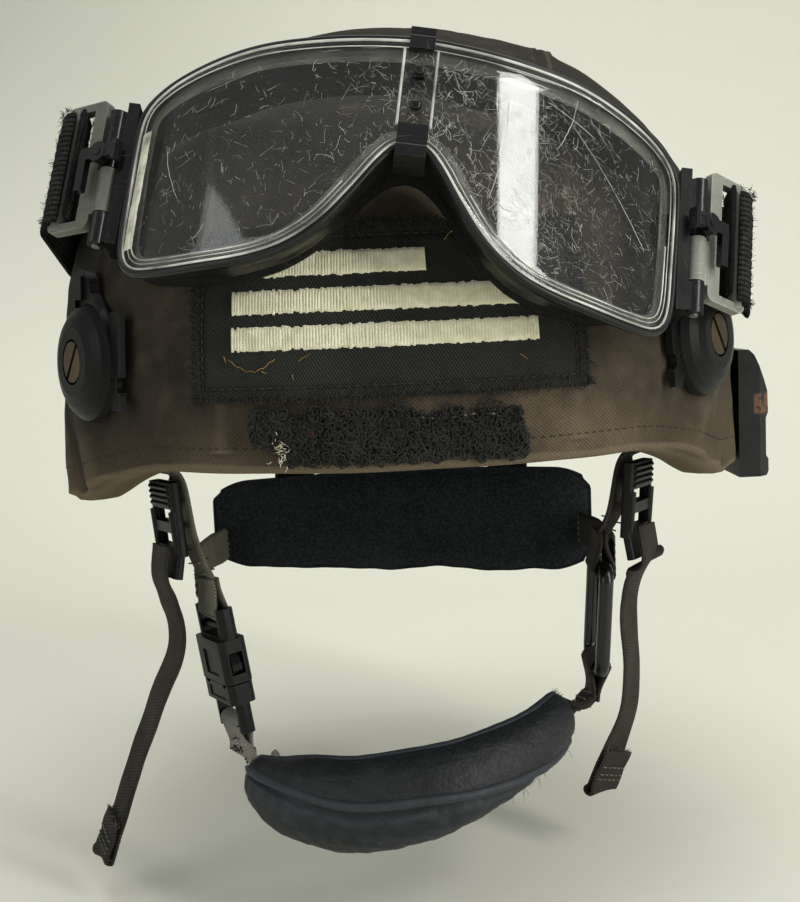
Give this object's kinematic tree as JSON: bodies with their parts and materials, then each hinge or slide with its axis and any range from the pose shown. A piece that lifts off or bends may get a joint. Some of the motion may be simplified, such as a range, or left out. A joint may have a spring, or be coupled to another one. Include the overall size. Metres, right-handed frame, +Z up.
{
  "type": "ballistic helmet",
  "caption": "Cloth-covered ballistic helmet with padded liner, brow goggles on an elastic strap, visor brackets, and a chin harness with side-release buckle and padded cup.",
  "frame": {"origin": "on the helmet's mid-plane, 6 mm in front of the middle of its length, level with the front brim", "axes": "+X to the wearer's left, -Y forward, +Z up through the crown"},
  "size_m": [0.2621, 0.3046, 0.2977],
  "materials": {
    "laminate": "fine matt paint",
    "trim_rubber": "satin",
    "liner_foam": "fine closed-cell foam",
    "pad_fabric": "brushed",
    "cover_canvas": "worn canvas",
    "patch_twill": "twill",
    "pile": "looped pile",
    "zinc_steel": "satin",
    "lens": "clear polycarbonate, scratched",
    "frame_rubber": "soft sheen",
    "face_foam": "open-cell foam",
    "black_nylon": "soft sheen",
    "grey_nylon": "worn satin",
    "elastic": "ribbed elastic webbing",
    "webbing": "worn webbing",
    "bronze_screw": "worn blackened bronze",
    "black_metal": "worn black paint",
    "cup_leather": "grained, worn",
    "nape_fabric": "padded cloth"
  },
  "bodies": {
    "helmet": {"shell": "laminate", "edge_trim": "trim_rubber", "impact_liner": "liner_foam", "crown_pad": "pad_fabric", "front_pad": "pad_fabric", "rear_pad": "pad_fabric", "left_side_pad": "pad_fabric", "right_side_pad": "pad_fabric", "cover": "cover_canvas", "cover_hem": "cover_canvas", "badge_panel": "patch_twill", "pile_strip": "pile", "harness_bolts": "zinc_steel", "goggle_strap": "elastic", "strap_slider": "black_nylon", "left_coin_screw": "bronze_screw", "right_coin_screw": "bronze_screw", "visor_nuts": "zinc_steel", "accessory_bracket": "black_metal", "accessory_screws": "zinc_steel", "left_side_strap": "webbing", "right_side_strap": "webbing", "left_ladder_lock": "black_nylon", "right_ladder_lock": "black_nylon", "left_tail": "webbing", "right_tail": "webbing", "left_rear_strap": "webbing", "right_rear_strap": "webbing", "nape_pad": "nape_fabric", "nape_hangers": "webbing", "buckle_socket": "black_nylon"},
    "goggles": {"goggle_frame": "frame_rubber", "goggle_lens": "lens", "goggle_foam": "face_foam", "bridge_clip": "black_nylon", "nose_clip": "black_nylon", "left_side_clip": "black_nylon", "right_side_clip": "black_nylon", "goggle_pins": "zinc_steel"},
    "left_bracket": {"left_strap_bracket": "grey_nylon", "left_strap_end": "elastic"},
    "right_bracket": {"right_strap_bracket": "grey_nylon", "right_strap_end": "elastic"},
    "left_latch": {"left_lens_latch": "black_nylon"},
    "right_latch": {"right_lens_latch": "black_nylon"},
    "left_visor": {"left_visor_arm": "black_metal"},
    "right_visor": {"right_visor_arm": "black_metal"},
    "ring": {"oval_ring": "black_nylon"},
    "chin_strap": {"buckle_plug": "black_nylon", "left_chin_web": "webbing", "chin_cup": "cup_leather", "right_chin_web": "webbing"},
    "front_prong": {"front_prong": "black_nylon"},
    "rear_prong": {"rear_prong": "black_nylon"}
  },
  "joints": [
    {"name": "goggle_slide", "type": "hinge", "parent": "helmet", "child": "goggles", "pos_m": [0, 0.006, 0.02], "axis": [1, 0, 0], "range_deg": [-8, 0], "deforming": ["goggle_strap", "goggle_foam"]},
    {"name": "left_bracket_hinge", "type": "hinge", "parent": "goggles", "child": "left_bracket", "pos_m": [-0.08448, -0.1092, 0.08772], "axis": [0.145, 0.3746, 0.9158], "range_deg": [-8, 16]},
    {"name": "right_bracket_hinge", "type": "hinge", "parent": "goggles", "child": "right_bracket", "pos_m": [0.09232, -0.1092, 0.05972], "axis": [0.145, 0.3746, 0.9158], "range_deg": [-16, 0]},
    {"name": "left_latch_turn", "type": "hinge", "parent": "goggles", "child": "left_latch", "pos_m": [-0.08527, -0.10932, 0.09663], "axis": [-0.4888, -0.7776, 0.3955], "range_deg": [0, 35]},
    {"name": "right_latch_turn", "type": "hinge", "parent": "goggles", "child": "right_latch", "pos_m": [0.09583, -0.10932, 0.06795], "axis": [0.5871, -0.7776, 0.2251], "range_deg": [-35, 0]},
    {"name": "left_visor_turn", "type": "hinge", "parent": "helmet", "child": "left_visor", "pos_m": [-0.09713, -0.086, 0.034], "axis": [-0.8013, -0.5956, 0.0571], "range_deg": [-30, 0]},
    {"name": "right_visor_turn", "type": "hinge", "parent": "helmet", "child": "right_visor", "pos_m": [0.09713, -0.086, 0.034], "axis": [0.8013, -0.5956, 0.0571], "range_deg": [0, 30]},
    {"name": "ring_swing", "type": "hinge", "parent": "helmet", "child": "ring", "pos_m": [0.069, -0.058, -0.0454], "axis": [0, -1, 0], "range_deg": [0, 8]},
    {"name": "chin_swing", "type": "hinge", "parent": "ring", "child": "chin_strap", "pos_m": [0.06649, -0.058, -0.08131], "axis": [0, -1, 0], "range_deg": [0, 75], "deforming": ["front_prong", "rear_prong"]},
    {"name": "front_prong_squeeze", "type": "hinge", "parent": "chin_strap", "child": "front_prong", "pos_m": [-0.06118, -0.06441, -0.08022], "axis": [0.8576, 0.5, 0.1205], "range_deg": [0, 13], "stiffness_Nm_per_rad": 0.05},
    {"name": "rear_prong_squeeze", "type": "hinge", "parent": "chin_strap", "child": "rear_prong", "pos_m": [-0.06851, -0.05159, -0.08125], "axis": [0.8576, 0.5, 0.1205], "range_deg": [-13, 0], "stiffness_Nm_per_rad": 0.05}
  ],
  "couplings": [
    {"joint": "ring_swing", "follows": "chin_swing", "ratio": 0.1}
  ]
}
